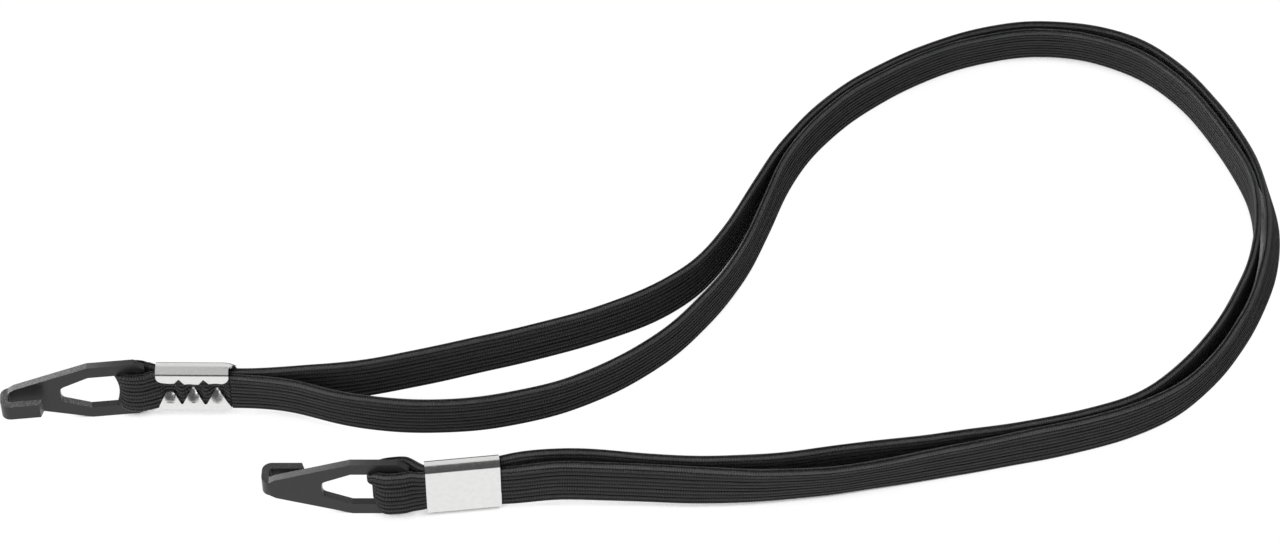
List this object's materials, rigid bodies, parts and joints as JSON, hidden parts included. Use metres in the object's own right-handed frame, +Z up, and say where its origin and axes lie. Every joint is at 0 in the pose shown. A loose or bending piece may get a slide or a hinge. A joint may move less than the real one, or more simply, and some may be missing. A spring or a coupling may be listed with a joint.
{
  "type": "eyeglass retainer strap",
  "caption": "Closed loop of flat black braided elastic lying doubled, with a flat plastic hook hinged in an eye at each end and a toothed bright metal clip pinching it behind each hook.",
  "frame": {"origin": "on the surface that the strap stands on, under the middle of the box round the two hooks, clips and eyes of the elastic", "axes": "+Z is up, across the band's width. +X runs from the hooks towards the closed back of the loop. +Y is the wearer's right, so the left end is nearer a viewer who looks along +Y."},
  "size_m": [0.2089, 0.1131, 0.0112],
  "materials": {
    "elastic": "black braided elastic, ribbed along its length",
    "hook": "satin moulded black plastic",
    "clip": "bright nickel-plated sheet steel"
  },
  "bodies": {
    "strap": {"strand_inner": "elastic", "strand_outer": "elastic", "eye_loop_right": "elastic", "eye_loop_left": "elastic", "clip_right": "clip", "clip_left": "clip"},
    "hook_right": {"hook_right": "hook"},
    "hook_left": {"hook_left": "hook"}
  },
  "joints": [
    {"name": "hook_right_swing", "type": "hinge", "parent": "strap", "child": "hook_right", "pos_m": [-0.0181, 0.0116, 0.0056], "axis": [0, 0, 1], "range_deg": [-90, 90]},
    {"name": "hook_left_swing", "type": "hinge", "parent": "strap", "child": "hook_left", "pos_m": [0.0248, -0.0098, 0.0056], "axis": [0, 0, 1], "range_deg": [-35, 90]}
  ]
}
